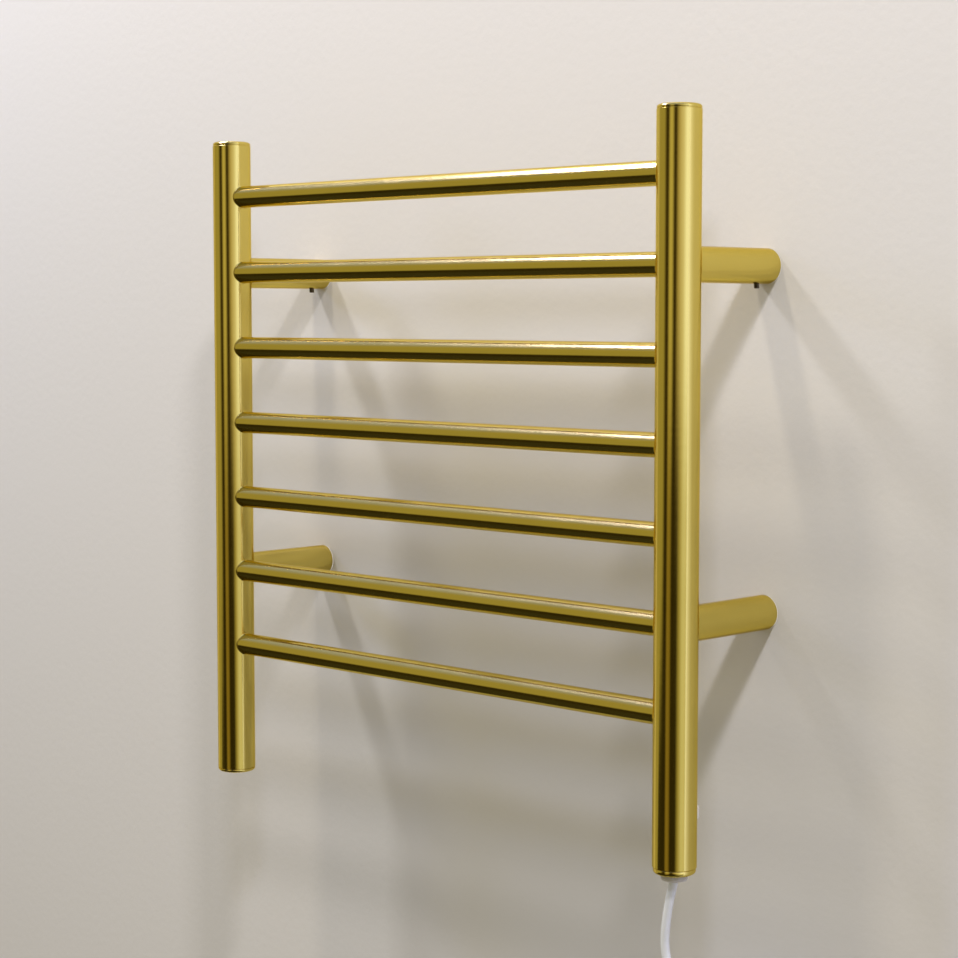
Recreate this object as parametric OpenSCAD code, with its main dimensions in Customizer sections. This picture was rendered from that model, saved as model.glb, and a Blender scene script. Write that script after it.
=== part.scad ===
// Wall-mounted electric towel warmer: two posts, seven bars, four standoffs.
// X runs along the bars, Y into the wall (the wall face is Y = 0), Z up.
// The origin is the centre of the four wall screws, on the wall face.

/* [Posts] */
// Outside diameter of a post
post_d = 32; // [28:1:38]
// Wall thickness of a post
post_wall = 1.2; // [1:0.1:1.5]
// Distance between the post axes
post_spacing = 490; // [400:5:600]
// Post tube above the top bar's axis
top_overhang = 43.5; // [30:0.5:80]
// Post tube below the bottom bar's axis
bottom_overhang = 108.5; // [100:0.5:140]

/* [Bars] */
// Outside diameter of a bar
bar_d = 18; // [16:1:20]
// Wall thickness of a bar
bar_wall = 1; // [0.8:0.1:1.2]
// Distance from one bar to the next
bar_pitch = 63.5; // [55:0.5:80]

/* [Standoffs] */
// Outside diameter of a standoff
standoff_d = 26; // [24:1:28]
// Wall thickness of a standoff
standoff_wall = 1.2; // [1:0.1:1.5]
// Distance from the wall to the post axes
wall_distance = 101; // [90:1:130]
// Length of the boss that is screwed to the wall
boss_length = 16; // [14:1:20]
// Diameter of the wall screw's hole
screw_hole_d = 5.2; // [4:0.1:5.6]

/* [Caps] */
// Height of the plain caps outside the tube
cap_h = 3.3; // [2.5:0.1:4]
// Height of the cap that holds the cable gland
gland_cap_h = 5; // [4.5:0.1:6]

/* [Mains lead] */
// Diameter of the lead
cord_d = 6.4; // [6:0.1:6.6]

/* [Hidden] */
$fn = 48;

post_r = post_d / 2;
post_bore_r = post_r - post_wall;
bar_r = bar_d / 2;
bar_bore_r = bar_r - bar_wall;
standoff_r = standoff_d / 2;
standoff_bore_r = standoff_r - standoff_wall;
post_x = post_spacing / 2;
post_y = -wall_distance;
bars = 7;
function bar_z(i) = bar_pitch * ((bars + 1) / 2 - i);
post_top = bar_z(1) + top_overhang;
post_bottom = bar_z(bars) - bottom_overhang;
standoff_z = bar_z(2);

gold = "goldenrod";

// ---- tube frame ----

// Switch window in the right post, on the side that faces the wall.
switch_z = post_bottom + 37;
switch_w = 15;
switch_h = 10.5;
switch_stand = 2.6;
switch_body_w = 12.4;
switch_body_h = 8.4;
window_gap = 0.2;

module along_x(x0, x1, r) {
    translate([x0, 0, 0]) rotate([0, 90, 0]) cylinder(r = r, h = x1 - x0);
}

module along_y(y0, y1, r) {
    translate([0, y0, 0]) rotate([-90, 0, 0]) cylinder(r = r, h = y1 - y0);
}

// A post: a tube with a cable hole where each bar meets it. side is -1 for left, 1 for right.
module post(side) {
    color(gold) difference() {
        translate([side * post_x, post_y, post_bottom])
            cylinder(r = post_r, h = post_top - post_bottom, $fn = 96);
        translate([side * post_x, post_y, post_bottom - 1])
            cylinder(r = post_bore_r, h = post_top - post_bottom + 2, $fn = 96);
        for (i = [1 : bars])
            translate([side * post_x, post_y, bar_z(i)])
                along_x(side > 0 ? -post_d : 0, side > 0 ? 0 : post_d, bar_bore_r);
        if (side > 0)
            translate([post_x - switch_body_w / 2 - window_gap, post_y,
                    switch_z - switch_body_h / 2 - window_gap])
                cube([switch_body_w + 2 * window_gap, post_d, switch_body_h + 2 * window_gap]);
    }
}

// A bar: a tube between the posts, its ends cut to the posts' round.
module bar(i) {
    color(gold) difference() {
        translate([0, post_y, bar_z(i)]) along_x(-post_x, post_x, bar_r);
        translate([0, post_y, bar_z(i)]) along_x(-post_x - 1, post_x + 1, bar_bore_r);
        for (side = [-1, 1])
            translate([side * post_x, post_y, bar_z(i) - bar_d])
                cylinder(r = post_r, h = 2 * bar_d, $fn = 96);
    }
}

// A standoff: a tube from the wall to the back of a post, drilled and tapped below for the grub screw.
grub_y = -12;
grub_d = 4.2;
grub_below = 3.3;
function grub_drop(row) = row > 0 ? grub_below : 0;
module standoff(side, row) {
    color(gold) difference() {
        translate([side * post_x, 0, row * standoff_z]) along_y(post_y, 0, standoff_r);
        translate([side * post_x, 0, row * standoff_z]) along_y(post_y - 1, 1, standoff_bore_r);
        translate([side * post_x, post_y, row * standoff_z - standoff_d])
            cylinder(r = post_r, h = 2 * standoff_d, $fn = 96);
        translate([side * post_x, grub_y, row * standoff_z - standoff_d])
            cylinder(d = grub_d, h = standoff_d);
    }
}

// A boss: it is screwed to the wall, and the standoff slides over it.
boss_clearance = 0.05;
module wall_boss(side, row) {
    color("silver") translate([side * post_x, 0, row * standoff_z]) difference() {
        along_y(-boss_length, 0, standoff_bore_r - boss_clearance);
        along_y(-boss_length - 1, 1, screw_hole_d / 2);
        if (row < 0) translate([0, grub_y, -standoff_r])
            cylinder(d = grub_d + 0.1, h = standoff_wall + grub_below + boss_clearance);
    }
}

// Socket grub screws, which clamp the standoffs on their bosses. The upper ones bear on the
// outside of the boss and stand out below; the lower ones go into a hole in it and end flush.
module grub_screws() {
    color("dimgray") for (side = [-1, 1], row = [-1, 1])
        translate([side * post_x, grub_y, row * standoff_z]) difference() {
            translate([0, 0, -standoff_r - grub_drop(row)])
                cylinder(d = grub_d, h = standoff_wall + grub_below + boss_clearance);
            translate([0, 0, -standoff_r - grub_drop(row) - 1]) cylinder(d = 2.3, h = 3, $fn = 6);
        }
}

// ---- caps and gland ----

cap_spigot_h = 8;
cap_gap = 0.05;
cap_round = 2.6;

// Outline of a cap, radius across and height up from the tube's end, with the spigot below.
function arc(cx, cy, r, a0, a1, n) = [for (k = [0 : n]) let (a = a0 + (a1 - a0) * k / n)
    [cx + r * cos(a), cy + r * sin(a)]];

module cap(h, rounding) {
    rotate_extrude($fn = 96) polygon(concat(
        [[0, -cap_spigot_h], [post_bore_r - cap_gap, -cap_spigot_h], [post_bore_r - cap_gap, 0],
            [post_r - 0.2, 0], [post_r - 0.2, h - rounding]],
        arc(post_r - 0.2 - rounding, h - rounding, rounding, 0, 90, 6),
        [[0, h]]));
}

module top_cap(side) {
    color(gold) translate([side * post_x, post_y, post_top]) cap(cap_h, cap_round);
}

module bottom_cap_left() {
    color(gold) translate([-post_x, post_y, post_bottom]) mirror([0, 0, 1]) cap(cap_h, cap_round);
}

gland_r = 9.8;
gland_h = 4.5;
gland_shank_r = 6.4;
gland_bore_r = 3.3;
nut_h = 5;
nut_af = 15;
lug_r = 2.8;
lug_t = 0.8;
earth_y = post_y - 11.4;
earth_screw_d = 3;
gland_face = post_bottom - gland_cap_h;
exit_z = gland_face - gland_h;
spigot_top = post_bottom + cap_spigot_h;

module bottom_cap_right() {
    color(gold) difference() {
        translate([post_x, post_y, post_bottom]) mirror([0, 0, 1]) cap(gland_cap_h, 3.6);
        translate([post_x, post_y, gland_face - 1])
            cylinder(r = gland_shank_r + 0.05, h = gland_cap_h + cap_spigot_h + 2);
        translate([post_x, earth_y, spigot_top - 6]) cylinder(d = earth_screw_d, h = 7);
    }
}

// Gland: a round flange under the cap and a threaded shank through it, bored for the lead.
module cable_gland() {
    color("gainsboro") translate([post_x, post_y, 0]) difference() {
        union() {
            translate([0, 0, exit_z + 1.2]) cylinder(r = gland_r, h = gland_h - 1.2);
            translate([0, 0, exit_z]) cylinder(r1 = gland_r - 1.4, r2 = gland_r, h = 1.2);
            translate([0, 0, gland_face - 0.5])
                cylinder(r = gland_shank_r, h = spigot_top + nut_h - gland_face + 0.5);
        }
        translate([0, 0, exit_z - 1]) cylinder(r = gland_bore_r, h = 60);
    }
}

module gland_nut() {
    color("gainsboro") translate([post_x, post_y, spigot_top]) difference() {
        cylinder(d = nut_af / cos(30), h = nut_h, $fn = 6);
        translate([0, 0, -1]) cylinder(r = gland_shank_r + 0.02, h = nut_h + 2);
    }
}

// Ring terminal with its barrel, under a pan-head screw in the cap.
module earth_lug() {
    color("khaki") translate([post_x, earth_y, spigot_top]) difference() {
        union() {
            cylinder(r = lug_r, h = lug_t);
            translate([4.6, 2.2, 0]) cylinder(d = 3, h = 7);
            translate([0, -0.4, 0]) rotate([0, 0, 25]) cube([4.6, 2.2, lug_t]);
        }
        translate([0, 0, -1]) cylinder(d = earth_screw_d + 0.2, h = 4);
    }
}

module earth_screw() {
    color("gray") translate([post_x, earth_y, spigot_top + lug_t]) difference() {
        union() {
            translate([0, 0, -6]) cylinder(d = earth_screw_d - 0.1, h = 6.2);
            cylinder(r = 2.6, h = 1.8);
        }
        translate([-0.4, -3, 1]) cube([0.8, 6, 2]);
    }
}

// ---- inside: heater, leads and switch ----

heater_r = 2;
bend_r = 8;
heater_drop = bar_bore_r - heater_r - 0.2;
heater_x = post_x + 4;
function heater_z(i) = bar_z(i) - heater_drop;

// Quarter of a round bend in the XZ plane: centre, and the quadrant's first angle.
module quarter(x, z, a0) {
    translate([x, post_y, z]) rotate([90, 0, 0]) rotate([0, 0, a0])
        rotate_extrude(angle = 90) translate([bend_r, 0]) circle(r = heater_r, $fn = 24);
}

module riser(x, z0, z1, r) {
    translate([x, post_y, z0]) cylinder(r = r, h = z1 - z0, $fn = 24);
}

// One silicone-sleeved heating cable, looped up through all the bars from the foot of the right post.
heater_foot = heater_z(bars) - bend_r - 6;
module heating_cable() {
    color("firebrick") union() {
        for (i = [1 : bars])
            translate([0, post_y, heater_z(i)])
                along_x(bend_r - heater_x, heater_x - bend_r, heater_r, $fn = 24);
        riser(heater_x, heater_foot, heater_z(bars) - bend_r, heater_r);
        quarter(heater_x - bend_r, heater_z(bars) - bend_r, 0);
        for (i = [bars : -1 : 2]) {
            side = i % 2 == 1 ? -1 : 1;
            quarter(side * (heater_x - bend_r), heater_z(i) + bend_r, side > 0 ? 270 : 180);
            riser(side * heater_x, heater_z(i) + bend_r, heater_z(i - 1) - bend_r, heater_r);
            quarter(side * (heater_x - bend_r), heater_z(i - 1) - bend_r, side > 0 ? 0 : 90);
        }
        quarter(bend_r - heater_x, heater_z(1) + bend_r, 180);
        riser(-heater_x, heater_z(1) + bend_r, splice_z, heater_r);
    }
}

// Crimped sleeves that join the heating cable to its leads.
splice_h = 14;
splice_z = bar_z(1) + 12;
module heater_splice() {
    color("lightgray") union() {
        riser(-heater_x, splice_z, splice_z + splice_h, 2.7);
        riser(heater_x, heater_foot - splice_h, heater_foot, 2.7);
    }
}

// Thermal cut-out, a sealed capsule in line with the heating cable's live end.
cutout_h = 19;
cutout_top = heater_foot - splice_h;
module thermal_cutout() {
    color("tan") translate([heater_x, post_y, cutout_top - cutout_h]) union() {
        cylinder(r = 3.1, h = cutout_h - 3);
        translate([0, 0, cutout_h - 3]) cylinder(r1 = 3.1, r2 = 1.4, h = 3);
    }
}

// Points of a path with its corners rounded off, cut back by up to cut from each corner.
function rounded(p, cut) = concat([p[0]],
    [for (k = [1 : len(p) - 2]) let (
            back = p[k - 1] - p[k], on = p[k + 1] - p[k],
            c = min(cut, norm(back) / 2.2, norm(on) / 2.2),
            a = p[k] + c * unit(back), b = p[k] + c * unit(on))
        for (t = [0 : 0.25 : 1]) (1 - t) * (1 - t) * a + 2 * t * (1 - t) * p[k] + t * t * b],
    [p[len(p) - 1]]);

// An insulated lead that runs straight from point to point, with round corners.
module lead(points, r) {
    tube(rounded(points, 4), r, 8);
}

lead_r = 1.2;
front_y = post_y - 10.5;
return_z = bar_z(1) + 2;
return_foot = heater_foot - 4;
module return_lead() {
    color("steelblue") lead([
        [-heater_x, post_y, splice_z + splice_h],
        [-heater_x, post_y, splice_z + splice_h + 4],
        [-post_x - 2, post_y - 5, splice_z + splice_h + 4],
        [-post_x + 3, post_y - 5, return_z],
        [post_x - 5, post_y - 5, return_z],
        [post_x + 1, front_y, return_z - 6],
        [post_x + 1, front_y, return_foot]], lead_r);
}

module return_splice() {
    color("lightgray") translate([post_x + 1, front_y, return_foot - splice_h])
        cylinder(r = 2.4, h = splice_h);
}

lead_end = spigot_top + nut_h + 4;
module lead_inner_end() {
    color("white") translate([post_x, post_y, exit_z]) cylinder(d = cord_d, h = lead_end - exit_z);
}

terminal_x = 4;
terminal_y = post_y - 5.5;
module live_lead() {
    color("saddlebrown") lead([
        [post_x - 1.6, post_y, lead_end],
        [post_x - 1.6, post_y, lead_end + 4],
        [post_x - terminal_x, terminal_y - 1.2, switch_z - 5],
        [post_x - terminal_x, terminal_y - 1.2, switch_z - 1]], lead_r);
}

module switched_lead() {
    color("saddlebrown") lead([
        [heater_x, post_y, cutout_top - cutout_h],
        [heater_x, post_y, cutout_top - cutout_h - 3],
        [post_x + terminal_x, terminal_y - 1.2, switch_z + 4],
        [post_x + terminal_x, terminal_y - 1.2, switch_z + 1]], lead_r);
}

module neutral_lead() {
    color("steelblue") lead([
        [post_x + 1, post_y - 1.4, lead_end],
        [post_x + 1, post_y - 1.4, lead_end + 3],
        [post_x + 1, front_y, lead_end + 12],
        [post_x + 1, front_y, return_foot - splice_h]], lead_r);
}

module earth_lead() {
    color("yellowgreen") lead([
        [post_x + 0.6, post_y + 1.7, lead_end],
        [post_x + 3, post_y + 1.7, lead_end + 5],
        [post_x + 9, post_y - 4, lead_end + 5],
        [post_x + 9, post_y - 8, spigot_top + 10],
        [post_x + 4.6, earth_y + 2.2, spigot_top + 7]], lead_r);
}

// Mini rocker switch, snapped into the post from the wall side.
switch_face = post_y + post_r + switch_stand;
switch_depth = 14;
pocket_w = 11.2;
pocket_h = 7.2;
pocket_depth = 6;
rocker_tilt = 9;
pivot_r = 0.8;
pivot_y = switch_face - 2.6;

module switch_housing() {
    color("whitesmoke") translate([post_x, 0, switch_z]) difference() {
        union() {
            difference() {
                translate([-switch_w / 2, switch_face - 6, -switch_h / 2])
                    cube([switch_w, 6, switch_h]);
                translate([0, post_y, -switch_h]) cylinder(r = post_r, h = 2 * switch_h, $fn = 96);
            }
            translate([-switch_body_w / 2, switch_face - switch_stand - switch_depth, -switch_body_h / 2])
                cube([switch_body_w, switch_depth + 1, switch_body_h]);
        }
        translate([-pocket_w / 2, switch_face - pocket_depth, -pocket_h / 2])
            cube([pocket_w, pocket_depth + 1, pocket_h]);
        translate([0, pivot_y, -pocket_h / 2 - 0.6]) cylinder(r = pivot_r + 0.05, h = pocket_h + 1.2);
    }
}

module switch_terminals() {
    color("khaki") for (side = [-1, 1])
        translate([post_x + side * terminal_x - 1.5, terminal_y,
                switch_z - 0.4])
            cube([3, switch_face - switch_stand - switch_depth - terminal_y, 0.8]);
}

// The rocker: two faces that dip to the middle, rounded underneath, on two pivot pins.
rocker_half = 5.1;
module switch_rocker() {
    color("white") translate([post_x, pivot_y, switch_z]) rotate([0, 0, rocker_tilt]) union() {
        translate([0, 0, -pocket_h / 2 + 0.2]) linear_extrude(pocket_h - 0.4)
            polygon(concat(
                [[rocker_half, 0], [rocker_half, 2.6]],
                [for (k = [1 : 7]) let (u = 1 - k / 4) [rocker_half * u, 1.7 + 0.9 * u * u]],
                [[-rocker_half, 2.6], [-rocker_half, 0], [-2.4, -2], [2.4, -2]]));
        translate([0, 0, -pocket_h / 2 - 0.5]) cylinder(r = pivot_r, h = pocket_h + 1);
    }
}

// ---- mains lead: hanging length, coil, tie and plug ----

cord_r = cord_d / 2;
coil_x = 239.5;
coil_y = -91;
coil_z = -426;
coil_r = 36;
bundle_r = 1.5 * cord_d + 0.1;
tie_angle = 56;

// Route from the gland down and round into the front of the coil.
hang_points = [
    [245, -101, -308.5], [243.8, -101.6, -315], [242, -102.5, -324.5], [240.6, -103.3, -334.5],
    [239.7, -103.9, -345], [239.4, -104, -356], [241.2, -104, -366], [246.2, -104, -376],
    [253.4, -104, -386], [261.5, -103.6, -396], [268.7, -101.4, -406], [273.7, -98.7, -416],
    [275.5, -97.4, -426]];

// Route from the outside of the coil down to the plug.
tail_points = [[281, -94, -426], [281, -94, -436], [281.5, -94, -446], [281.5, -94, -456],
    [281.5, -94, -462]];

// A smooth curve through the points (Catmull-Rom), sampled step times between two of them.
function spline_at(p, k, t) = let (
        n = len(p) - 1,
        a = p[max(k - 1, 0)], b = p[k], c = p[min(k + 1, n)], d = p[min(k + 2, n)])
    b + t * (c - a) / 2 + t * t * (2 * a - 5 * b + 4 * c - d) / 2
        + t * t * t * (3 * b - a - 3 * c + d) / 2;
function resample(p, steps) = concat(
    [for (k = [0 : len(p) - 2]) for (s = [0 : steps - 1]) spline_at(p, k, s / steps)],
    [p[len(p) - 1]]);
function unit(v) = v / norm(v);
function heading(p, k) = unit(p[min(k + 1, len(p) - 1)] - p[max(k - 1, 0)]);

// A round tube along a path: a ring of points across each point of it, flat ends.
module tube(path, r, sides) {
    n = len(path);
    rings = [for (k = [0 : n - 1]) let (
            t = heading(path, k),
            u = unit(cross([0, 1, 0], t)),
            v = cross(t, u))
        for (s = [0 : sides - 1]) path[k] + r * (cos(360 * s / sides) * u + sin(360 * s / sides) * v)];
    sides_faces = [for (k = [0 : n - 2]) for (s = [0 : sides - 1]) let (
            a = k * sides + s, b = k * sides + (s + 1) % sides)
        each [[a, a + sides, b + sides], [a, b + sides, b]]];
    polyhedron(rings, concat(sides_faces,
        [[for (s = [0 : sides - 1]) s]],
        [[for (s = [sides - 1 : -1 : 0]) (n - 1) * sides + s]]));
}

module cord_hang() {
    color("white") tube(resample(hang_points, 2), cord_r, 10);
}

module cord_tail() {
    color("white") tube(resample(tail_points, 2), cord_r, 10);
}

// Outer shape of the coil: seven turns, six round one.
module cord_coil() {
    color("white") translate([coil_x, coil_y, coil_z]) rotate([90, 0, 0])
        rotate_extrude($fn = 64) translate([coil_r, 0]) circle(r = bundle_r, $fn = 32);
}

// A strap round the bundle and round the lead in front of it.
tie_w = 6;
tie_t = 1;
tie_r = bundle_r + 0.2;
tie_reach = 7.5;
module tie_outline(r) {
    circle(r = r, $fn = 32);
    translate([0, tie_reach]) circle(r = r, $fn = 32);
    translate([-r, 0]) square([2 * r, tie_reach]);
}

module cord_tie() {
    color("black") translate([coil_x, coil_y, coil_z]) rotate([0, -tie_angle, 0]) translate([coil_r, 0, 0])
        rotate([0, 0, 180]) translate([0, 0, -tie_w / 2]) linear_extrude(tie_w) difference() {
            tie_outline(tie_r + tie_t);
            tie_outline(tie_r);
        }
}

// Moulded plug, pointing down: a ribbed sleeve, a body, two flat blades and a round earth pin.
plug_x = tail_points[4][0];
plug_y = tail_points[4][1];
plug_z = tail_points[4][2];
relief_h = 22;
plug_w = 25;
plug_t = 24;
plug_h = 30;
plug_shift = 4;
blade_gap = 12.7;
earth_pin_offset = 11.9;
plug_face = plug_z - relief_h - plug_h;

module plug_relief() {
    color("white") translate([plug_x, plug_y, plug_z - relief_h]) union() {
        cylinder(r1 = 5.6, r2 = 4.2, h = relief_h);
        for (k = [0 : 3]) translate([0, 0, 3 + 5 * k]) cylinder(r = 6 - 0.35 * k, h = 2.4);
    }
}

module rounded_slab(w, t, r, h) {
    linear_extrude(h) union() {
        square([w - 2 * r, t], center = true);
        square([w, t - 2 * r], center = true);
        for (a = [-1, 1], b = [-1, 1]) translate([a * (w / 2 - r), b * (t / 2 - r)]) circle(r = r, $fn = 32);
    }
}

module plug_body() {
    color("white") translate([plug_x - plug_shift, plug_y, plug_face]) union() {
        rounded_slab(plug_w, plug_t, 5, 16);
        translate([0, 0, 15.9]) hull() {
            rounded_slab(plug_w, plug_t, 5, 0.1);
            translate([plug_shift, 0, plug_h - 16]) cylinder(r = 6.2, h = 0.1, $fn = 32);
        }
    }
}

module plug_blades() {
    color("silver") for (side = [-1, 1])
        translate([plug_x - 3.2, plug_y + side * blade_gap / 2 - 0.75, plug_face - 16.5]) difference() {
            cube([6.35, 1.5, 16.5]);
            translate([3.2, -1, 4]) rotate([-90, 0, 0]) cylinder(d = 3, h = 4);
        }
}

module plug_earth_pin() {
    color("silver") translate([plug_x - earth_pin_offset, plug_y, plug_face - 19]) union() {
        cylinder(d = 4.76, h = 19);
        translate([0, 0, -1.6]) cylinder(d1 = 2, d2 = 4.76, h = 1.6);
    }
}

post(-1);  // left_post
post(1);  // right_post
bar(1);  // bar_1
bar(2);  // bar_2
bar(3);  // bar_3
bar(4);  // bar_4
bar(5);  // bar_5
bar(6);  // bar_6
bar(7);  // bar_7
standoff(-1, 1);  // standoff_upper_left
standoff(1, 1);  // standoff_upper_right
standoff(-1, -1);  // standoff_lower_left
standoff(1, -1);  // standoff_lower_right
wall_boss(-1, 1);  // wall_boss_upper_left
wall_boss(1, 1);  // wall_boss_upper_right
wall_boss(-1, -1);  // wall_boss_lower_left
wall_boss(1, -1);  // wall_boss_lower_right
grub_screws();
top_cap(-1);  // top_cap_left
top_cap(1);  // top_cap_right
bottom_cap_left();
bottom_cap_right();
cable_gland();
gland_nut();
lead_inner_end();
heating_cable();
heater_splice();
thermal_cutout();
return_lead();
return_splice();
live_lead();
switched_lead();
neutral_lead();
earth_lead();
earth_lug();
earth_screw();
switch_housing();
switch_terminals();
switch_rocker();
cord_hang();
cord_coil();
cord_tail();
cord_tie();
plug_relief();
plug_body();
plug_blades();
plug_earth_pin();
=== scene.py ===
import bpy
import numpy as np
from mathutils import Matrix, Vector


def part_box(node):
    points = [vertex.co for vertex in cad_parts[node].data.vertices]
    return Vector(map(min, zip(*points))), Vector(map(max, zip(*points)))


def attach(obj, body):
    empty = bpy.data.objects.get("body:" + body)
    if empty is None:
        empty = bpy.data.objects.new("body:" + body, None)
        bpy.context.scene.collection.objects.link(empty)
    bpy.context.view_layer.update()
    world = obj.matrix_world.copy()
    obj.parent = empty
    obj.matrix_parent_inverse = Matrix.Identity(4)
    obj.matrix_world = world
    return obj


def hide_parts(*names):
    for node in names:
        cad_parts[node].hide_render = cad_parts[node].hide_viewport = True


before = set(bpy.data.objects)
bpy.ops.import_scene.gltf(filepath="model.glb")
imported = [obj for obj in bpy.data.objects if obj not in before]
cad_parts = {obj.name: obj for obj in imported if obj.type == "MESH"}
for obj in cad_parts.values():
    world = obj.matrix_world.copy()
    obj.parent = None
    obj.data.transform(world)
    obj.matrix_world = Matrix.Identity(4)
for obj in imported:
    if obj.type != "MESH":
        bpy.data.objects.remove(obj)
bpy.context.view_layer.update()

# ---- Camera ----
# It stands in the room, to the right of the rack and level with its upper half, and looks
# across the wall at about 45 degrees through a long lens.
eye = (1.2156, -1.2823, 0.0936)
turned_left = np.radians(44.613)
tipped_down = np.radians(4.379)
camera = bpy.data.objects.new("camera", bpy.data.cameras.new("camera"))
bpy.context.scene.collection.objects.link(camera)
camera.data.sensor_width = 36
camera.data.lens = 81.9
camera.location = eye
camera.rotation_euler = (np.pi / 2 - tipped_down, 0, turned_left)
bpy.context.scene.camera = camera

# ---- Mains lead ----
# A round white three-core lead of 6.4 mm. It drops out of the gland, leans a little to the left
# and hangs; the rest of its 1.8 m is tied in a round coil of seven turns, six laid round one.
mm = 0.001
tau = 2 * np.pi
lead_d = 6.4 * mm
hang_points = mm * np.array([
    [245, -101, -308.5], [243.8, -101.6, -315], [242, -102.5, -324.5], [240.6, -103.3, -334.5],
    [239.7, -103.9, -345], [239.4, -104, -356], [241.2, -104, -366], [246.2, -104, -376],
    [253.4, -104, -386], [261.5, -103.6, -396], [268.7, -101.4, -406], [273.7, -98.7, -416],
    [275.5, -97.4, -426]])
tail_points = mm * np.array([
    [281, -94, -426], [281, -94, -436], [281.5, -94, -446], [281.5, -94, -456],
    [281.5, -94, -462]])
coil_centre = mm * np.array([239.5, -91, -426])
coil_r = 36 * mm
turns = 7


def curve_through(points, per_span):
    """A Catmull-Rom curve through the points. Between b and c, with neighbours a and d, it is
    b + t/2 (c - a) + t^2/2 (2a - 5b + 4c - d) + t^3/2 (3b - a - 3c + d)."""
    p = np.vstack([2 * points[0] - points[1], points, 2 * points[-1] - points[-2]])
    a, b, c, d = p[:-3], p[1:-2], p[2:-1], p[3:]
    t = np.linspace(0, 1, per_span, endpoint=False)[:, None, None]
    spans = b + t / 2 * ((c - a) + t * ((2 * a - 5 * b + 4 * c - d) + t * (3 * b - a - 3 * c + d)))
    return np.vstack([spans.transpose(1, 0, 2).reshape(-1, 3), points[-1:]])


def coil_path(steps):
    """The coil's turns: a circle in the XZ plane whose radius and depth step from one place in the
    bundle to the next. The places are the middle and the corners of a hexagon one lead wide, and
    each step is a smooth 3u^2 - 2u^3 blend over a quarter of a turn, which ends under the tie."""
    step_from, step_turn = 0.6, 0.26
    corner = np.radians([-90, -150, 150, 0, 90, 30, -30, -30])
    reach = np.array([1, 1, 1, 0, 1, 1, 1, 1])[:, None]
    places = lead_d * reach * np.stack([np.cos(corner), np.sin(corner)], 1)
    s = np.linspace(0, turns, turns * steps + 1)[1:-1]
    turn = np.floor(s).astype(int)
    u = np.clip((s - turn - step_from) / step_turn, 0, 1)[:, None]
    place = places[turn] + (3 * u**2 - 2 * u**3) * (places[turn + 1] - places[turn])
    r = coil_r + place[:, 0]
    angle = -tau * s
    return coil_centre + np.stack([r * np.cos(angle), place[:, 1], r * np.sin(angle)], 1)


def grid_faces(rows, cols, closed=False):
    """The four-cornered faces of a grid of rows x cols points, numbered row by row. Each row joins
    its own start, and in a closed grid the last row joins the first."""
    i = np.arange(rows if closed else rows - 1)[:, None]
    j = np.arange(cols)[None, :]
    i1, j1 = (i + 1) % rows, (j + 1) % cols
    return np.stack([i * cols + j, i * cols + j1, i1 * cols + j1, i1 * cols + j], -1).reshape(-1, 4)


def mesh_object(name, points, faces, sharp):
    """A smooth mesh object at the origin, with a hard edge where two faces meet at more than sharp
    degrees."""
    mesh = bpy.data.meshes.new(name)
    mesh.from_pydata(points, [], faces)
    mesh.shade_smooth()
    mesh.set_sharp_from_angle(angle=np.radians(sharp))
    piece = bpy.data.objects.new(name, mesh)
    bpy.context.scene.collection.objects.link(piece)
    return piece


def put(name, parts, sharp):
    """A mesh object made of closed parts. Each part is a grid of points (rows, cols, 3), whose
    columns run round the part, and how its rows end: "flat" with a face over the first and the
    last ring, or "ring" where the last row meets the first. Rings run anticlockwise as seen
    against the direction in which the rows follow each other."""
    points, faces, start = [], [], 0
    for grid, ends in parts:
        rows, cols = grid.shape[:2]
        points += grid.reshape(-1, 3).tolist()
        faces += (grid_faces(rows, cols, ends == "ring") + start).tolist()
        if ends == "flat":
            faces.append(list(range(start + cols - 1, start - 1, -1)))
            faces.append(list(range(start + (rows - 1) * cols, start + rows * cols)))
        start += rows * cols
    return mesh_object(name, points, faces, sharp)


def tube(path, radius, sides):
    """Rings of points round a path: each is radius (cos a U + sin a V), where U is square to the
    path and level with Y, and V is square to both."""
    along = np.gradient(path, axis=0)
    along /= np.linalg.norm(along, axis=1)[:, None]
    u = np.cross([0, 1, 0], along)
    u /= np.linalg.norm(u, axis=1)[:, None]
    v = np.cross(along, u)
    a = (np.arange(sides) * tau / sides)[None, :, None]
    return path[:, None] + radius * (np.cos(a) * u[:, None] + np.sin(a) * v[:, None])


lead_path = np.vstack([
    curve_through(hang_points, 4), coil_path(72), curve_through(tail_points, 4)])
lead = put("mains_lead", [(tube(lead_path, lead_d / 2, 20), "flat")], 60)


class Signal:
    """One output of a shader node in a Tree. Arithmetic on it adds Math nodes to that tree."""

    def __init__(self, owner, socket):
        self.owner, self.socket = owner, socket

    def __add__(self, other):
        return self.owner.math("ADD", self, other)

    def __sub__(self, other):
        return self.owner.math("SUBTRACT", self, other)

    def __rsub__(self, other):
        return self.owner.math("SUBTRACT", other, self)

    def __mul__(self, other):
        return self.owner.math("MULTIPLY", self, other)

    def __truediv__(self, other):
        return self.owner.math("DIVIDE", self, other)

    __radd__ = __add__
    __rmul__ = __mul__


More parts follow.
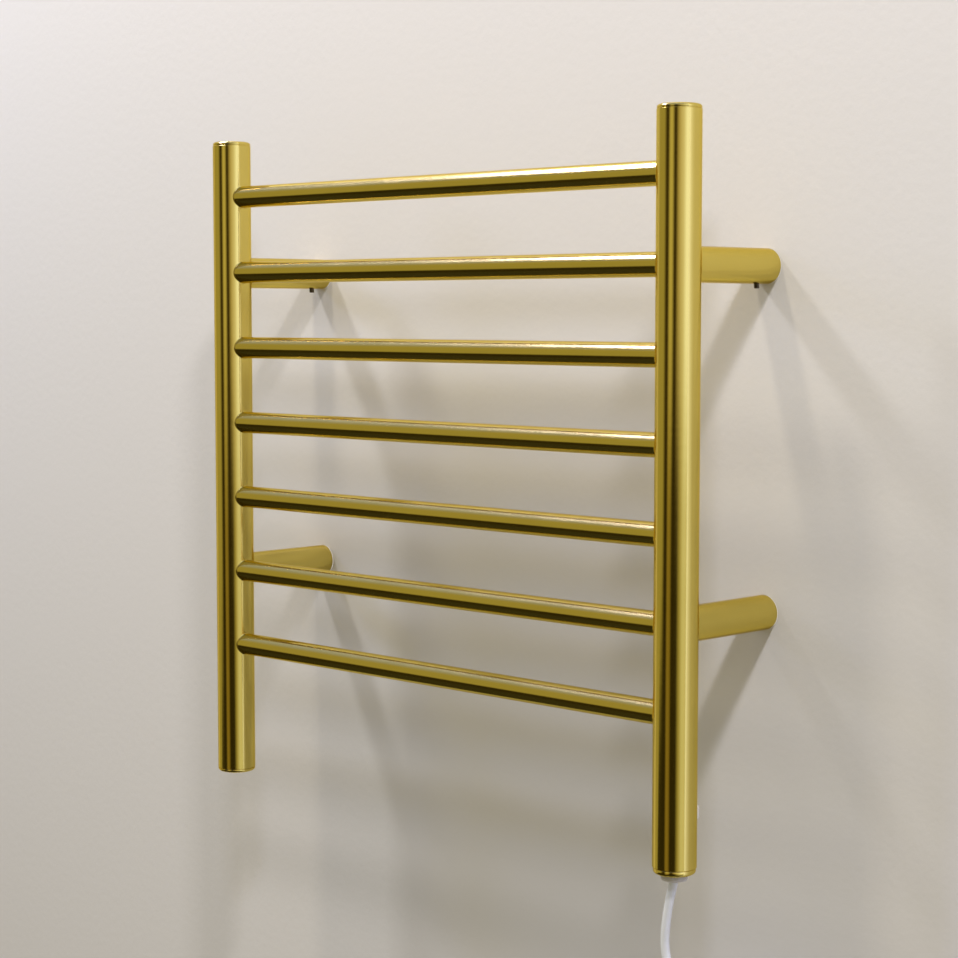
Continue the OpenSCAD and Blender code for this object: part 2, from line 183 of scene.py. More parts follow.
class Tree:
    """A shader tree with one way to add any node: its type, its settings, what goes into its
    sockets, and which output is wanted."""

    def __init__(self, tree):
        self.tree = tree

    def node(self, kind, settings=None, inputs=None, output=0):
        made = self.tree.nodes.new("ShaderNode" + kind)
        for key, value in (settings or {}).items():
            if key == "stops":
                ramp = made.color_ramp
                while len(ramp.elements) < len(value):
                    ramp.elements.new(0.5)
                for element, (at, colour) in zip(ramp.elements, value):
                    element.position = at
                    element.color = (*colour, 1) if len(colour) == 3 else colour
            else:
                setattr(made, key, value)
        self.feed(made, inputs or {})
        return Signal(self, made.outputs[output])

    def math(self, operation, *values):
        return self.node("Math", {"operation": operation}, dict(enumerate(values)))

    def feed(self, node, inputs):
        for key, value in inputs.items():
            if isinstance(value, Signal):
                self.tree.links.new(value.socket, node.inputs[key])
            else:
                node.inputs[key].default_value = value


class Finish(Tree):
    """A material with one Principled shader. set() gives its sockets constants or signals."""

    def __init__(self, name, **constants):
        self.material = bpy.data.materials.new(name)
        self.material.use_nodes = True
        super().__init__(self.material.node_tree)
        self.shader = self.tree.nodes["Principled BSDF"]
        self.set({key.replace("_", " "): value for key, value in constants.items()})

    def set(self, inputs):
        self.feed(self.shader, inputs)

    def where(self, scale=(1, 1, 1)):
        spot = self.node("TexCoord", output="Object")
        return self.node("Mapping", {}, {"Vector": spot, "Scale": scale})

    def noise(self, scale, detail=2, stretch=(1, 1, 1)):
        return self.node("TexNoise", {}, {
            "Vector": self.where(stretch), "Scale": scale, "Detail": detail})

    def between(self, low, high, amount):
        return self.node("Mix", {"data_type": "RGBA"}, {
            "Factor": amount, "A": (*low, 1), "B": (*high, 1)}, output="Result")

    def bump(self, height, distance, strength=1):
        self.set({"Normal": self.node("Bump", {}, {
            "Height": height, "Distance": distance, "Strength": strength})})


def coat(piece, finish):
    """Gives a piece, or a part that keeps its CAD shape, its one finish."""
    piece.data.materials.clear()
    piece.data.materials.append(finish.material)


def wear(piece, body, finish):
    """Puts a new piece on its body with its finish."""
    coat(piece, finish)
    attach(piece, body)


# White PVC: satin, very slightly mottled, with the faint ripple of an extruded jacket.
white_pvc = Finish("white_pvc", Specular_IOR_Level=0.45)
mottle = white_pvc.noise(90, 3)
white_pvc.set({
    "Base Color": white_pvc.between((0.77, 0.8, 0.85), (0.85, 0.88, 0.93), mottle),
    "Roughness": 0.3 + 0.14 * mottle})
white_pvc.bump(white_pvc.noise(900, 2), 0.00006)
wear(lead, "rack", white_pvc)
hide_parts("cord_hang", "cord_coil", "cord_tail")

# ---- Tie on the coil ----
# A strap of black woven hook-and-loop tape. It is closed on itself round the coil's seven turns
# and the end of the hanging lead in front of them.
tie_at = np.radians(56)
bundle_r = 1.5 * lead_d + 0.1 * mm
strap_r = bundle_r + 0.7 * mm
strap_reach = 7.5 * mm


def strap(width, thick):
    """A flat band carried round a stretched circle: two half circles of strap_r whose middles are
    strap_reach apart. Its section is a rounded rectangle, width across and thick high: each of
    the two offsets is a cosine or a sine whose size is raised to a power below 1."""
    half = np.linspace(0, np.pi, 25)
    ring = np.concatenate([half, half + np.pi])
    middle_y = np.repeat([0.0, -strap_reach], len(half))
    section = np.linspace(0, tau, 17)[:-1]
    high = thick / 2 * np.sign(np.sin(section)) * np.abs(np.sin(section)) ** 0.5
    wide = width / 2 * np.sign(np.cos(section)) * np.abs(np.cos(section)) ** 0.3
    r = strap_r + high[:, None]
    across, deep = r * np.cos(ring), r * np.sin(ring) + middle_y
    out = np.array([np.cos(tie_at), 0, np.sin(tie_at)])
    round_coil = np.array([-np.sin(tie_at), 0, np.cos(tie_at)])
    middle = coil_centre + coil_r * out
    return (middle + across[..., None] * out + deep[..., None] * np.array([0, 1, 0])
        + wide[:, None, None] * round_coil)


tie = put("coil_tie", [(strap(6 * mm, 0.95 * mm), "ring")], 70)
black_tape = Finish("black_tape", Roughness=0.85, Sheen_Weight=0.3)
pile = black_tape.noise(2600, 2)
black_tape.set({
    "Base Color": black_tape.between((0.012, 0.012, 0.013), (0.05, 0.05, 0.052), pile)})
black_tape.bump(pile, 0.0003)
wear(tie, "rack", black_tape)
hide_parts("cord_tie")

# ---- Plug ----
# A moulded three-pin plug in the lead's own white PVC: a ribbed sleeve that keeps the lead from
# kinking, a body with finger ribs on its flat sides, two flat blades and a round earth pin.
relief_low, relief_high = (np.array(corner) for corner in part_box("plug_relief"))
body_low, body_high = (np.array(corner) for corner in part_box("plug_body"))
plug_x, plug_y = (relief_low[:2] + relief_high[:2]) / 2


def turned(radii, heights, centre, sides=64):
    """A surface turned about Z: at heights[i] above the centre its radius is radii[i], which is a
    number or one value for each direction. The columns run round the axis."""
    a = np.arange(sides) * tau / sides
    r = np.array([np.broadcast_to(radius, sides) for radius in radii])
    h = np.array([np.broadcast_to(height, sides) for height in heights])
    return np.stack([r * np.cos(a), r * np.sin(a), h], -1) + centre


# The sleeve tapers from 5.5 to 4 mm in radius. Five ribs, a cosine wave, cover its lower part.
sleeve_share = np.linspace(0, 1, 89)
ribbed, rib_count = 0.84, 5
on_ribs = sleeve_share < ribbed
rib_wave = 0.5 - 0.5 * np.cos(tau * rib_count * np.clip(sleeve_share / ribbed, 0, 1))
rib_rise = 0.4 - (0.9 - 0.3 * sleeve_share) * (1 - rib_wave)
sleeve_r = mm * (5.5 - 1.5 * sleeve_share + on_ribs * rib_rise)
sleeve_r[-4:] -= mm * np.array([0.02, 0.1, 0.25, 0.5])
sleeve_rise = sleeve_share * (relief_high[2] - relief_low[2])
sleeve = turned(sleeve_r, sleeve_rise, (plug_x, plug_y, relief_low[2]))
relief = put("plug_sleeve", [(sleeve, "flat")], 50)
wear(relief, "rack", white_pvc)
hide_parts("plug_relief")

outline_points = 64


def rounded_box(width, depth, corner):
    """The outline of a rectangle with round corners: quarter circles of radius corner round the
    four inner corners, as (outline_points, 2) points running anticlockwise."""
    a = (np.arange(outline_points) + 0.5) * tau / outline_points
    quarter = np.floor(a / (tau / 4)).astype(int)
    sx, sy = np.array([1, -1, -1, 1])[quarter], np.array([1, 1, -1, -1])[quarter]
    x = sx * (width / 2 - corner) + corner * np.cos(a)
    y = sy * (depth / 2 - corner) + corner * np.sin(a)
    return np.stack([x, y], 1)


body_w, body_t, body_h = body_high - body_low
body_x = (body_low[0] + body_high[0]) / 2
neck_from, neck_w, pin_edge = 0.54, 12.2 * mm, 0.035
finger_ribs, ribs_from, ribs_share = 6, 0.08, 0.42


def plug_ring(level):
    """The body's outline at a share of its height: a rounded box with a soft edge at the pins, and
    finger ribs, a cosine wave, in its flat sides. Above neck_from it narrows to a round neck at
    plug_x by the blend 3u^2 - 2u^3."""
    u = np.clip((level - neck_from) / (1 - neck_from), 0, 1)
    blend = 3 * u**2 - 2 * u**3
    trim = 1.2 * mm * (1 - min(level / pin_edge, 1)) ** 2
    along_ribs = np.clip((level - ribs_from) / ribs_share, 0, 1)
    finger_rib = 0.55 * mm * (0.5 - 0.5 * np.cos(tau * finger_ribs * along_ribs))
    width = (body_w - 0.2 * mm) * (1 - blend) + neck_w * blend - 2 * trim
    depth = (body_t - 0.2 * mm) * (1 - blend) + neck_w * blend - 2 * trim - 2 * finger_rib
    corner = 5 * mm * (1 - blend) + 6 * mm * blend
    outline = rounded_box(width, depth, min(corner, width / 2.02, depth / 2.02))
    return np.column_stack([
        outline[:, 0] + body_x * (1 - blend) + plug_x * blend, outline[:, 1] + plug_y,
        np.full(outline_points, body_low[2] + level * body_h)])


levels = np.concatenate([
    [0, 0.003, 0.012, pin_edge], np.linspace(0.06, neck_from, 49), np.linspace(0.56, 1, 23)])
plug_rings = np.array([plug_ring(level) for level in levels])
body = put("plug_body_moulding", [(plug_rings, "flat")], 50)
wear(body, "rack", white_pvc)
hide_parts("plug_body")

# The blades and the earth pin are nickel-plated brass, drawn lengthways.
nickel = Finish("nickel_plate", Metallic=1.0)
drawn = nickel.noise(500, 3, (1, 1, 0.03))
nickel.set({
    "Base Color": nickel.between((0.62, 0.6, 0.56), (0.74, 0.72, 0.68), drawn),
    "Roughness": 0.2 + 0.15 * drawn})
nickel.bump(drawn, 0.00004)
blades, earth_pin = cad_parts["plug_blades"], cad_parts["plug_earth_pin"]
for pin in (blades, earth_pin):
    coat(pin, nickel)

# ---- Polished gold ----
# The whole frame is plated in one light gold and buffed to a mirror. The buffing leaves a very
# fine ripple that bends reflections a little, and handling leaves faint smudges.
gold = Finish(
    "polished_gold", Metallic=1.0, Coat_Weight=0.04, Coat_Roughness=0.25,
    Specular_Tint=(0.9, 0.78, 0.42, 1))
haze = gold.noise(26, 4)
gold.set({
    "Base Color": gold.between((0.68, 0.54, 0.125), (0.73, 0.59, 0.145), haze),
    "Roughness": 0.1 + 0.05 * haze})
gold.bump(gold.noise(160, 2), 0.00002)

# ---- Posts ----
# Two lengths of 32 mm tube with a 1.2 mm wall, standing 490 mm apart. The ends are faced with a
# small chamfer, and the right one has a window in its back for the switch.
post_r = 16 * mm
post_bore = 14.8 * mm
post_y = -101 * mm
post_x = 245 * mm
switch_low, switch_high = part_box("switch_housing")
switch_z = (switch_low[2] + switch_high[2]) / 2
window_angle = np.arcsin(6.4 * mm / post_r)
window_ends = (switch_z - 4.4 * mm, switch_z + 4.4 * mm)


def post_tube(name, low, high, x, back_angle, opening):
    """A tube standing on Z: the outer wall at post_r, or a chamfer less at its very ends, and the
    inner wall at post_bore, joined by a wall round every edge of the kept cells. Its back is the
    columns within back_angle of +Y, and opening is the two ends of a hole across them, or empty."""
    back_columns = 12
    back = np.linspace(np.pi / 2 - back_angle, np.pi / 2 + back_angle, back_columns + 1)
    front = np.linspace(np.pi / 2 + back_angle, np.pi / 2 - back_angle + tau, 109)[1:-1]
    a = np.concatenate([back, front])
    chamfer = 0.3 * mm
    z = np.array(sorted({low, low + chamfer, high - chamfer, high, *opening}))
    r_out = np.where((z == low) | (z == high), post_r - chamfer, post_r)[:, None]
    n, m = len(a), len(z)
    ring = np.stack([np.cos(a), np.sin(a)], -1)
    walls = [
        np.concatenate([r * ring, np.broadcast_to(z[:, None, None], (m, n, 1))], -1)
        for r in (r_out[..., None], np.full((m, 1, 1), post_bore))]
    points = np.concatenate([w.reshape(-1, 3) for w in walls]) + (x, post_y, 0)
    outer = grid_faces(m, n)
    if opening:
        row, column = np.divmod(np.arange(len(outer)), n)
        within = (z[row] >= opening[0]) & (z[row + 1] <= opening[1])
        outer = outer[~(within & (column < back_columns))]
    inner = outer[:, ::-1] + n * m
    edges = np.concatenate([outer[:, [k, (k + 1) % 4]] for k in range(4)])
    keys = edges[:, 0] * n * m + edges[:, 1]
    open_edges = edges[~np.isin(edges[:, 1] * n * m + edges[:, 0], keys)]
    lips = np.column_stack([open_edges[:, ::-1], open_edges + n * m])
    return mesh_object(name, points.tolist(), np.concatenate([outer, inner, lips]).tolist(), 30)


for side, x, back_angle, opening in (
        ("left", -post_x, np.radians(24), ()), ("right", post_x, window_angle, window_ends)):
    post_low, post_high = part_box(side + "_post")
    post = post_tube(side + "_post_tube", post_low[2], post_high[2], x, back_angle, opening)
    wear(post, "rack", gold)
    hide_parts(side + "_post")

# ---- Bars and standoffs ----
# Seven 18 mm bars run between the posts and four 26 mm standoffs run from their backs to the
# wall. Each end is cut to the post's round and brazed on with a small concave fillet.
bar_r, bar_bore = 9 * mm, 8 * mm
standoff_r, standoff_bore = 13 * mm, 11.8 * mm
standoff_z = 127 * mm
fillet = 0.7 * mm


def coped_tube(radius, bore, reach, plain_end=None, sides=120):
    """A tube whose end follows a round post: at angle a the wall of radius r ends at
    reach - sqrt(post_r^2 - (r cos a)^2) from the middle. The fillet swells r by f (1 - cos b)
    while the end comes nearer by f (1 - sin b), for b from 0 to a quarter turn. The other end
    is its mirror image, or is cut square at plain_end with a small chamfer. Returned as
    (rows, sides) arrays of the distance along, and of the two offsets square to it: the first
    is across the post, the second is along it."""
    b = np.linspace(0, np.pi / 2, 7)
    swell = np.concatenate([fillet * (1 - np.cos(b)), [bore - radius]])
    back = np.concatenate([fillet * (1 - np.sin(b)), [0]])
    a = (np.arange(sides) * tau / sides)[None, :]
    r = radius + swell[:, None]
    end = reach - np.sqrt(post_r**2 - (r * np.cos(a)) ** 2) - back[:, None]
    if plain_end is None:
        along = np.concatenate([-end[::-1], end])
        r = np.concatenate([r[::-1], r])
    else:
        chamfer = 0.35 * mm
        plain = np.array([plain_end, plain_end, plain_end - chamfer])[:, None] + 0 * a
        along = np.concatenate([-plain, end])
        r = np.concatenate([np.array([[bore], [radius - chamfer], [radius]]), r])
    r = r + 0 * a
    return along, r * np.cos(a), r * np.sin(a)


for number in range(1, 8):
    bar_low, bar_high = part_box("bar_%d" % number)
    along, across, up = coped_tube(bar_r, bar_bore, post_x)
    bar_z = (bar_low[2] + bar_high[2]) / 2
    grid = np.stack([along, across + post_y, up + bar_z], -1)
    bar = put("bar_tube_%d" % number, [(grid, "ring")], 35)
    wear(bar, "rack", gold)
    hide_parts("bar_%d" % number)

for row in ("upper", "lower"):
    for side in ("left", "right"):
        node = "standoff_%s_%s" % (row, side)
        low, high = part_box(node)
        along, across, up = coped_tube(standoff_r, standoff_bore, -post_y, 0.0)
        middle = (low + high) / 2
        grid = np.stack([across + middle[0], -along, up + middle[2]], -1)
        standoff = put(node + "_tube", [(grid, "ring")], 35)
        wear(standoff, "rack", gold)
        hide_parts(node)

# ---- Wall bosses and grub screws ----
# A turned zinc boss sits in each standoff and takes the wall screw. A dark socket grub screw
# comes up through the standoff from below: the upper two bear on the boss and stand out, the
# lower two go into a hole in it and end flush.
zinc = Finish("turned_zinc", Metallic=1.0)
facing = zinc.noise(220, 3)
zinc.set({
    "Base Color": zinc.between((0.42, 0.43, 0.45), (0.56, 0.57, 0.58), facing),
    "Roughness": 0.3 + 0.2 * facing})
zinc.bump(facing, 0.00005)
black_steel = Finish("black_steel", Metallic=1.0)
oxide = black_steel.noise(700, 3)
black_steel.set({
    "Base Color": black_steel.between((0.09, 0.08, 0.075), (0.22, 0.2, 0.19), oxide),
    "Roughness": 0.3 + 0.2 * oxide})
black_steel.bump(oxide, 0.00003)

# The thread is a saw-tooth of rings at the screw's pitch, and the socket is a hexagonal hole.
screw_r, screw_pitch, socket = 2.1 * mm, 0.7 * mm, 2.0 * mm
screw_y = -12 * mm
screw_rise = np.linspace(0.35 * mm, 4.4 * mm, 60)
thread = screw_r - 0.22 * mm * (1 - np.abs(2 * ((screw_rise / screw_pitch) % 1) - 1))
screw_angle = np.arange(64) * tau / 64
hexagon = socket / 2 / np.cos((screw_angle + np.pi / 6) % (tau / 6) - np.pi / 6)
screw_radii = [hexagon * 0.98, hexagon, screw_r - 0.5 * mm, *thread]
screw_levels = [1.8 * mm, 0.0, 0.0, *screw_rise]
screws = []
for x in (-post_x, post_x):
    for z, proud in ((standoff_z, 3.3 * mm), (-standoff_z, 0.0)):
        foot = (x, screw_y, z - standoff_r - proud)
        screws.append((turned(screw_radii, screw_levels, foot), "flat"))
grubs = put("grub_screw_set", screws, 35)
wear(grubs, "rack", black_steel)
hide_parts("grub_screws")

# ---- Caps ----
# Pressed caps close the tube ends. Each has a rolled edge a little smaller than the tube, and a
# groove 0.5 mm wide at the joint, which reads as a dark line.
cap_r = post_r - 0.2 * mm


def cap(name, node, up, stand, rounding, rim_r, hole=None):
    """A cap on Z: a spigot, a narrow groove at the tube's end, a straight side at rim_r and an
    elliptical edge, rounding high and 1.6 rounding wide, up to a flat face. It stands out of the
    tube by stand. up is 1 for a top cap and -1 for a bottom one, and hole is a bore's radius."""
    low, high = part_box(node)
    centre = (low + high) / 2
    face = high[2] if up > 0 else low[2]
    b = np.linspace(0, np.pi / 2, 16)
    middle_r, spigot_r, groove_r = hole or 0.3 * mm, post_bore - 0.05 * mm, rim_r - 0.6 * mm
    spigot_drop = stand + 8 * mm
    edge_w = 1.6 * rounding
    radii = [middle_r, spigot_r, spigot_r, groove_r, groove_r, rim_r - 0.12 * mm, rim_r]
    drop = [spigot_drop, spigot_drop, stand, stand, *(stand - mm * np.array([0.45, 0.5, 0.7]))]
    radii += list(rim_r - edge_w + edge_w * np.cos(b))
    drop += list(rounding - rounding * np.sin(b))
    radii += [rim_r - edge_w - 1.5 * mm, middle_r]
    drop += [0, 0]
    grid = turned(radii, face - up * np.array(drop), (centre[0], post_y, 0), sides=120)
    piece = put(name, [(grid if up > 0 else grid[::-1], "ring" if hole else "flat")], 40)
    wear(piece, "rack", gold)
    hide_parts(node)


cap("top_cap_left_turned", "top_cap_left", 1, 3.3 * mm, 2.1 * mm, cap_r)
cap("top_cap_right_turned", "top_cap_right", 1, 3.3 * mm, 2.1 * mm, cap_r)
cap("bottom_cap_left_turned", "bottom_cap_left", -1, 3.3 * mm, 2.1 * mm, cap_r)
cap("bottom_cap_right_turned", "bottom_cap_right", -1, 5 * mm, 2.6 * mm, cap_r - 0.5 * mm,
    hole=6.45 * mm)

# ---- Cable gland ----
# A light grey nylon gland through the right-hand bottom cap: a round flange with a soft edge and
# a fine grip on its rim, and a bore that fits the lead.
gland_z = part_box("cable_gland")[0][2]
gland_sides, grip_ribs = 144, 48
grip = 0.12 * mm * np.cos(grip_ribs * np.arange(gland_sides) * tau / gland_sides)
gland_bore, soft_edge = 3.25 * mm, 1.3 * mm
bend = np.linspace(0, np.pi / 2, 9)
gland_radii = [gland_bore, 3.9 * mm, *(8.4 * mm + soft_edge * np.sin(bend))]
gland_rise = [1.1 * mm, 0.15 * mm, *(soft_edge * (1 - np.cos(bend)))]
gland_radii += [9.6 * mm + grip, 9.6 * mm + grip, 9.4 * mm, 6.4 * mm, 6.4 * mm, gland_bore]
gland_rise += [1.6 * mm, 4.2 * mm, 4.5 * mm, 4.5 * mm, 22.4 * mm, 22.4 * mm]
gland_grid = turned(gland_radii, gland_rise, (post_x, post_y, gland_z), gland_sides)
gland = put("cable_gland_turned", [(gland_grid, "ring")], 45)
grey_nylon = Finish("grey_nylon", Specular_IOR_Level=0.4)
speckle = grey_nylon.noise(400, 3)
grey_nylon.set({
    "Base Color": grey_nylon.between((0.6, 0.58, 0.57), (0.7, 0.68, 0.67), speckle),
    "Roughness": 0.42 + 0.15 * speckle})
grey_nylon.bump(speckle, 0.00005)
wear(gland, "rack", grey_nylon)
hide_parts("cable_gland")

# ---- Rocker switch ----
# A small white rocker in the back of the right post. Its bezel is moulded to the tube's round,
# and the rocker's two faces dip towards the middle.
white_gloss = Finish("white_moulding", Coat_Weight=0.2, Coat_Roughness=0.1)
flow = white_gloss.noise(150, 2)
white_gloss.set({
    "Base Color": white_gloss.between((0.76, 0.75, 0.72), (0.84, 0.83, 0.8), flow),
    "Roughness": 0.22 + 0.12 * flow})
white_gloss.bump(white_gloss.noise(1500, 1), 0.00002)

face_y = switch_high[1]
bezel_w, bezel_h = switch_high[0] - switch_low[0], switch_high[2] - switch_low[2]


def switch_row(width, height, corner, y):
    """One ring of the housing: a rounded rectangle in the XZ plane at depth y, or on the post's
    round, sqrt(post_r^2 - x^2) from its axis, where y is None."""
    outline = rounded_box(width, height, corner)
    on_round = post_y + np.sqrt(post_r**2 - outline[:, 0] ** 2)
    deep = on_round if y is None else np.full(outline_points, y)
    return np.stack([post_x - outline[:, 0], deep, outline[:, 1] + switch_z], -1)


# The rings go from the box in the tube, over the bezel's round edge, into the rocker's opening.
bezel_corner, bezel_edge = 1.6 * mm, 0.8 * mm
housing_rings = [
    switch_row(12 * mm, 8 * mm, 0.8 * mm, switch_low[1]),
    switch_row(12.4 * mm, 8.4 * mm, 1 * mm, switch_low[1] + 0.4 * mm),
    switch_row(12.4 * mm, 8.4 * mm, 1 * mm, None),
    switch_row(bezel_w, bezel_h, bezel_corner, None)]
for bend in np.linspace(0, np.pi / 2, 6):
    inset = bezel_edge * (1 - np.cos(bend))
    housing_rings.append(switch_row(
        bezel_w - 2 * inset, bezel_h - 2 * inset, bezel_corner - inset,
        face_y - bezel_edge * (1 - np.sin(bend))))
for inset, deep in mm * np.array([[0, 0], [0.12, 0.12], [0.12, 5.9], [0.6, 6]]):
    housing_rings.append(switch_row(
        11.44 * mm - 2 * inset, 7.44 * mm - 2 * inset, 0.6 * mm, face_y - deep))
housing = put("switch_bezel", [(np.array(housing_rings), "flat")], 40)
wear(housing, "rack", white_gloss)
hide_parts("switch_housing")

pivot_y = face_y - 2.6 * mm
tilt = np.radians(9)
rocker_half, rocker_rise, rocker_deep = 5.1 * mm, 2.6 * mm, 6.8 * mm

# The rocker's section, anticlockwise: a hollow top, 1.7 + 0.9 u^2 mm above the pivot for u from 1
# to -1 across it and rounded over its last tenth, then a short keel below.
u = np.linspace(1, -1, 41)
top_rise = mm * (1.7 + 0.9 * u**2 - 0.5 * np.maximum(np.abs(u) - 0.9, 0) / 0.1)
keel = mm * np.array([
    [-5.1, 0.6], [-4.9, 0], [-2.6, -1.9], [-2.2, -2], [2.2, -2], [2.6, -1.9], [4.9, 0], [5.1, 0.6]])
section = np.vstack([np.stack([rocker_half * u, top_rise], 1), keel])


def rocker_ring(along, inset):
    """The section at a share of the rocker's half length, drawn in by inset and turned by tilt."""
    wide, high = (section * (1 - inset / np.array([rocker_half, rocker_rise]))).T
    return np.stack([
        wide * np.cos(tilt) - high * np.sin(tilt) + post_x,
        wide * np.sin(tilt) + high * np.cos(tilt) + pivot_y,
        np.full(len(section), switch_z + along * rocker_deep / 2)], -1)


end_rings = ((1, 0.35 * mm), (0.98, 0.14 * mm), (0.93, 0.03 * mm), (0.86, 0))
rocker_rings = [rocker_ring(-along, inset) for along, inset in end_rings]
rocker_rings += [rocker_ring(along, inset) for along, inset in reversed(end_rings)]
pins = turned(
    mm * np.array([0.6, 0.8, 0.8, 0.6]), mm * np.array([-4.1, -3.9, 3.9, 4.1]),
    (post_x, pivot_y, switch_z), 24)
rocker = put("switch_rocker_moulding", [(np.array(rocker_rings), "flat"), (pins, "flat")], 35)
wear(rocker, "rocker", white_gloss)
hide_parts("switch_rocker")

# ---- Parts inside ----
# The heating cable, its leads and joints and the gland's nut are shut in the tubes. They keep
# their own shapes and take a finish each.


def insulation(name, dark, light):
    """A soft matt plastic or silicone finish between two near colours."""
    finish = Finish(name, Specular_IOR_Level=0.35)
    grain = finish.noise(600, 3)
    finish.set({"Base Color": finish.between(dark, light, grain), "Roughness": 0.45 + 0.2 * grain})
    finish.bump(grain, 0.00004)
    return finish


red_silicone = insulation("red_silicone", (0.36, 0.05, 0.04), (0.48, 0.08, 0.06))
blue_pvc = insulation("blue_pvc", (0.05, 0.15, 0.4), (0.08, 0.2, 0.5))
brown_pvc = insulation("brown_pvc", (0.17, 0.08, 0.04), (0.24, 0.12, 0.06))
green_pvc = insulation("green_pvc", (0.2, 0.4, 0.06), (0.3, 0.52, 0.1))
resin = insulation("resin", (0.55, 0.45, 0.3), (0.66, 0.56, 0.4))
inside = {
    "heating_cable": red_silicone, "thermal_cutout": resin, "return_lead": blue_pvc,
    "neutral_lead": blue_pvc, "live_lead": brown_pvc, "switched_lead": brown_pvc,
    "earth_lead": green_pvc, "lead_inner_end": white_pvc, "gland_nut": grey_nylon,
    "heater_splice": nickel, "return_splice": nickel, "switch_terminals": nickel,
    "earth_lug": nickel, "earth_screw": black_steel}
for row in ("upper", "lower"):
    for side in ("left", "right"):
        inside["wall_boss_%s_%s" % (row, side)] = zinc
for node, finish in inside.items():
    coat(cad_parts[node], finish)

# ---- Wall ----
# A pale wall painted with a roller, just behind the standoffs' ends. To the right of the rack it
# has a painted glow of daylight, an emission that grows brighter and bluer towards the right. It is
# clear from behind, and over the bosses so that their backs show.
wall_paint = Finish("wall_paint", Roughness=0.55, Specular_IOR_Level=0.25)
wall_paint.set({"Base Color": (0.795, 0.785, 0.785, 1)})
wall_paint.bump(wall_paint.noise(140, 4), 0.0006, 0.32)
place = wall_paint.where()
across, height = (wall_paint.node("SeparateXYZ", {}, {0: place}, output=k) for k in (0, 2))
# Painted light: an emission colour, dark up to 0.4 m right of the middle and brighter beyond, that
# makes the wall glow where daylight would fall.
painted_daylight_glow = wall_paint.node("ValToRGB", {"stops": [
    (0.2, (0, 0, 0)), (0.28, (0.17, 0.2, 0.4)), (0.46, (0.42, 0.47, 1.0)), (0.8, (0.7, 0.8, 1.6))]},
    {0: across / 2})
wall_paint.set({"Emission Color": painted_daylight_glow, "Emission Strength": 1.0})
beside = wall_paint.math("ABSOLUTE", across) - post_x
above = wall_paint.math("ABSOLUTE", height) - standoff_z
opening_r = standoff_r - 0.1 * mm
covered = wall_paint.math("LESS_THAN", beside * beside + above * above, opening_r**2)
behind = wall_paint.node("NewGeometry", output="Backfacing")
open_part = wall_paint.math("MAXIMUM", behind, covered)
painted = Signal(wall_paint, wall_paint.shader.outputs[0])
clear = wall_paint.node("BsdfTransparent")
shown = wall_paint.node("MixShader", {}, {0: open_part, 1: painted, 2: clear})
wall_paint.feed(wall_paint.tree.nodes["Material Output"], {0: shown})

wall_half, wall_foot, wall_top, wall_y = 4, -1.2, 2.2, 0.2 * mm
wall = mesh_object("wall", [
    (-wall_half, wall_y, wall_foot), (wall_half, wall_y, wall_foot),
    (wall_half, wall_y, wall_top), (-wall_half, wall_y, wall_top)], [(0, 1, 2, 3)], 30)
wall.data.materials.append(wall_paint.material)

# ---- Lamps ----
# Five small lamps light the wall and throw the rack's shadows on it. One oblong panel under the
# ceiling is seen only in the metal, as the bright streak along the top of each bar.


def lamp(name, place, size, power, colour, panel_turn=None):
    """A soft oblong light at place. A lamp faces the rack's middle, lights everything and doesn't
    show in the metal. A panel, which has a panel_turn in degrees about Z, faces down, shows in
    the metal and lights nothing else."""
    is_panel = panel_turn is not None
    light = bpy.data.lights.new(name, "AREA")
    light.shape, light.energy, light.color = "RECTANGLE", power, colour
    light.size, light.size_y = size
    holder = bpy.data.objects.new(name, light)
    bpy.context.scene.collection.objects.link(holder)
    holder.visible_glossy, holder.visible_diffuse = is_panel, not is_panel
    holder.location = place
    if is_panel:
        holder.rotation_euler = (0, 0, np.radians(panel_turn))
    else:
        holder.rotation_euler = Vector(place).to_track_quat("Z", "Y").to_euler()


lamp("spot_over_left", (-0.3, -0.8, 2.2), (0.18, 0.18), 17, (1, 0.865, 0.66))
lamp("spot_over_right", (1.5, -1.2, 2.2), (0.22, 0.22), 30, (1, 0.95, 0.93))
lamp("spot_far_left", (-1.1, -0.8, 1.6), (0.18, 0.18), 14, (1, 0.98, 0.95))
lamp("spot_low_right", (1.0, -1.2, 1.2), (0.18, 0.18), 5.6, (0.95, 1, 1.2))
lamp("spot_low_left", (-1.6, -0.8, 0.8), (0.3, 0.3), 3.4, (0.7, 0.87, 1.5))
lamp("ceiling_panel", (-1.04, -0.55, 1.5), (0.52, 1.2), 40, (1, 0.93, 2.4), panel_turn=-12)

# ---- Room ----
# The room that the polished tubes mirror: dim, with dark doorways, low dark furniture, a bright
# side and a pale ceiling. It is a colour for each direction, with soft steps between its parts.
world = bpy.data.worlds.new("room")
bpy.context.scene.world = world
world.use_nodes = True
room = Tree(world.node_tree)
direction = room.node("TexCoord", output="Generated")
right, inward, upward = (room.node("SeparateXYZ", {}, {0: direction}, output=k) for k in range(3))
azimuth = room.math("FRACT", room.math("ARCTAN2", inward, right) / tau + 1)


def round_the_room(*steps):
    """A colour for each bearing, in degrees anticlockwise from +X and in proportion between two
    of them. A bare number stands for a grey."""
    stops = [
        (bearing / 360, colour if isinstance(colour, tuple) else (colour,) * 3)
        for bearing, colour in steps]
    return room.node("ValToRGB", {"stops": stops}, {0: azimuth})


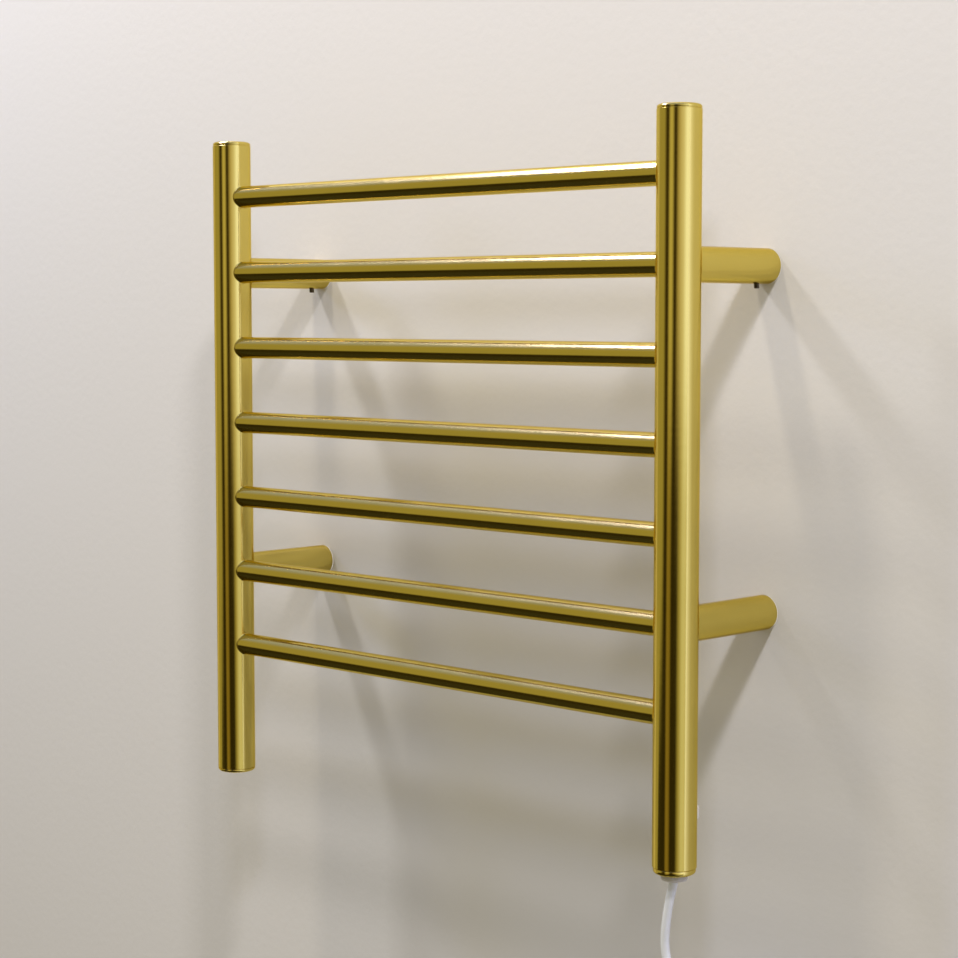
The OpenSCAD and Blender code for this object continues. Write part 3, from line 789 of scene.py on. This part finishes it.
def step(value, low, high):
    """0 below low and 1 above high, with the smooth step 3u^2 - 2u^3 between them."""
    return room.node("MapRange", {"interpolation_type": "SMOOTHSTEP"}, {
        "Value": value, "From Min": low, "From Max": high})


def either(amount, first, second):
    """The first colour where amount is 0, the second where it is 1, and a mix between."""
    return room.node("Mix", {"data_type": "RGBA"}, {
        "Factor": amount, "A": first, "B": second}, "Result")


bright, soft, mid = (1.3, 1.38, 2.2), (0.76, 0.75, 0.76), (0.69, 0.62, 0.55)
band = (0.63, 0.56, 0.3)
olive, gloom, black = (0.42, 0.37, 0.17), (0.05, 0.035, 0.006), (0.032, 0.024, 0.005)
high_part = round_the_room(
    (0, bright), (18, bright), (34, mid), (170, mid), (188, mid), (198, olive), (231, olive),
    (245, gloom), (255, gloom), (266, band), (276, band), (288, gloom), (296, gloom),
    (308, (0.5, 0.42, 0.25)), (318, mid), (335, (0.9, 0.88, 1.0)), (350, bright), (360, bright))
low_part = round_the_room(
    (0, soft), (18, soft), (34, mid), (188, mid), (198, black), (255, black),
    (264, (0.3, 0.22, 0.06)), (275, (0.26, 0.19, 0.05)), (284, black), (310, black),
    (324, olive), (340, soft), (360, soft))
# How far below the horizon the furniture's dark tops begin, as a sine, for each bearing.
furniture_top = round_the_room(
    (0, 0.05), (185, 0.05), (190, 0.7), (204, 0.5), (209, 0.34), (215, 0.22), (222, 0.17),
    (245, 0.13), (252, 0.05), (360, 0.05))
sides = either(step(upward + furniture_top, -0.05, 0.05), low_part, high_part)
with_ceiling = either(step(upward, 0.35, 0.68), sides, (0.39, 0.44, 0.85, 1))
with_ground = either(step(0 - upward, 0.38, 0.5), with_ceiling, (0.045, 0.04, 0.022, 1))
# Matt surfaces get one plain light from all round, and the camera sees one plain backdrop.
matt_ray = room.node("LightPath", output="Is Diffuse Ray")
camera_ray = room.node("LightPath", output="Is Camera Ray")
ambient = either(matt_ray, with_ground, (0.345, 0.31, 0.215, 1))
backdrop = either(camera_ray, ambient, (0.72, 0.69, 0.65, 1))
room.feed(world.node_tree.nodes["Background"], {"Color": backdrop, "Strength": 1.0})
bpy.context.scene.view_settings.view_transform = "Standard"
